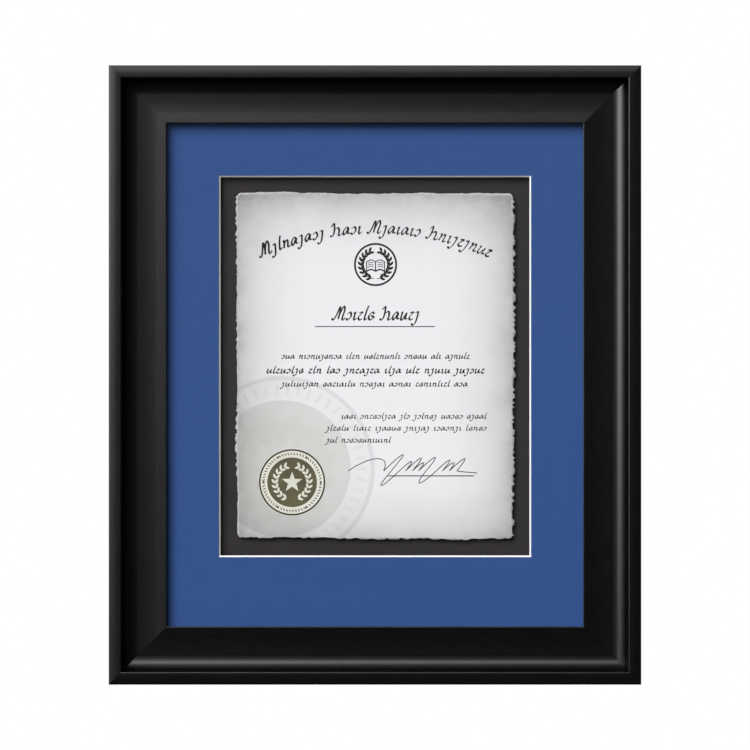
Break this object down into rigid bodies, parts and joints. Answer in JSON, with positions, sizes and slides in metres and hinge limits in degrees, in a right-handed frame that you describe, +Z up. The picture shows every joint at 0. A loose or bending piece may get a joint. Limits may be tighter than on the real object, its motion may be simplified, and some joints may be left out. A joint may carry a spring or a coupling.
{
  "type": "certificate frame",
  "caption": "Wall-hung portrait frame: scooped black mitred moulding, glass, bevelled blue mat, deckle-edged sheet floating on a dark board, turn buttons and ring hangers behind.",
  "frame": {"origin": "centre of the frame's rear plane, where the moulding's rear and the backing board lie flush, at the centre of the frame's width and height", "axes": "+X to the right for someone facing the frame, +Z up, the front faces -Y and the wall is at +Y"},
  "size_m": [0.3894, 0.0361, 0.4528],
  "materials": {
    "black_lacquer": "satin",
    "nail_steel": "satin",
    "glazing": "gloss",
    "blue_paper": "matte",
    "white_core": "matte",
    "foam_board": "matte",
    "charcoal_board": "matte",
    "parchment": "matte",
    "hardboard": "matte",
    "button_steel": "satin",
    "screw_steel": "satin",
    "hanger_steel": "polished",
    "bumper_rubber": "matte"
  },
  "bodies": {
    "frame": {"frame_top_rail": "black_lacquer", "frame_bottom_rail": "black_lacquer", "frame_left_stile": "black_lacquer", "frame_right_stile": "black_lacquer", "corner_v_nails": "nail_steel", "glazing_sheet": "glazing", "mat_face_paper": "blue_paper", "mat_core": "white_core", "spacer_top": "foam_board", "spacer_bottom": "foam_board", "spacer_left": "foam_board", "spacer_right": "foam_board", "mount_board": "charcoal_board", "float_pad": "foam_board", "certificate_sheet": "parchment", "backing_board": "hardboard", "turn_button_screws": "screw_steel", "hanger_screws": "screw_steel", "hanger_strap_left": "hanger_steel", "hanger_strap_right": "hanger_steel", "wall_bumper_left": "bumper_rubber", "wall_bumper_right": "bumper_rubber"},
    "turn_button_top_left": {"turn_button_top_left": "button_steel"},
    "turn_button_top_right": {"turn_button_top_right": "button_steel"},
    "turn_button_bottom_left": {"turn_button_bottom_left": "button_steel"},
    "turn_button_bottom_right": {"turn_button_bottom_right": "button_steel"},
    "turn_button_left_lower": {"turn_button_left_lower": "button_steel"},
    "turn_button_left_upper": {"turn_button_left_upper": "button_steel"},
    "turn_button_right_lower": {"turn_button_right_lower": "button_steel"},
    "turn_button_right_upper": {"turn_button_right_upper": "button_steel"},
    "hanger_ring_left": {"hanger_ring_left": "hanger_steel"},
    "hanger_ring_right": {"hanger_ring_right": "hanger_steel"}
  },
  "joints": [
    {"name": "turn_button_top_left_pivot", "type": "hinge", "parent": "frame", "child": "turn_button_top_left", "pos_m": [-0.09144, 0.00055, 0.20235], "axis": [0, 1, 0], "continuous": true},
    {"name": "turn_button_top_right_pivot", "type": "hinge", "parent": "frame", "child": "turn_button_top_right", "pos_m": [0.09144, 0.00055, 0.20235], "axis": [0, 1, 0], "continuous": true},
    {"name": "turn_button_bottom_left_pivot", "type": "hinge", "parent": "frame", "child": "turn_button_bottom_left", "pos_m": [-0.09144, 0.00055, -0.20235], "axis": [0, 1, 0], "continuous": true},
    {"name": "turn_button_bottom_right_pivot", "type": "hinge", "parent": "frame", "child": "turn_button_bottom_right", "pos_m": [0.09144, 0.00055, -0.20235], "axis": [0, 1, 0], "continuous": true},
    {"name": "turn_button_left_lower_pivot", "type": "hinge", "parent": "frame", "child": "turn_button_left_lower", "pos_m": [-0.1706, 0.00055, -0.08287], "axis": [0, 1, 0], "continuous": true},
    {"name": "turn_button_left_upper_pivot", "type": "hinge", "parent": "frame", "child": "turn_button_left_upper", "pos_m": [-0.1706, 0.00055, 0.08287], "axis": [0, 1, 0], "continuous": true},
    {"name": "turn_button_right_lower_pivot", "type": "hinge", "parent": "frame", "child": "turn_button_right_lower", "pos_m": [0.1706, 0.00055, -0.08287], "axis": [0, 1, 0], "continuous": true},
    {"name": "turn_button_right_upper_pivot", "type": "hinge", "parent": "frame", "child": "turn_button_right_upper", "pos_m": [0.1706, 0.00055, 0.08287], "axis": [0, 1, 0], "continuous": true},
    {"name": "hanger_ring_left_pivot", "type": "hinge", "parent": "frame", "child": "hanger_ring_left", "pos_m": [-0.1774, 0.00206, 0.13995], "axis": [-1, 0, 0], "range_deg": [0, 175]},
    {"name": "hanger_ring_right_pivot", "type": "hinge", "parent": "frame", "child": "hanger_ring_right", "pos_m": [0.1774, 0.00206, 0.13995], "axis": [-1, 0, 0], "range_deg": [0, 175]}
  ]
}
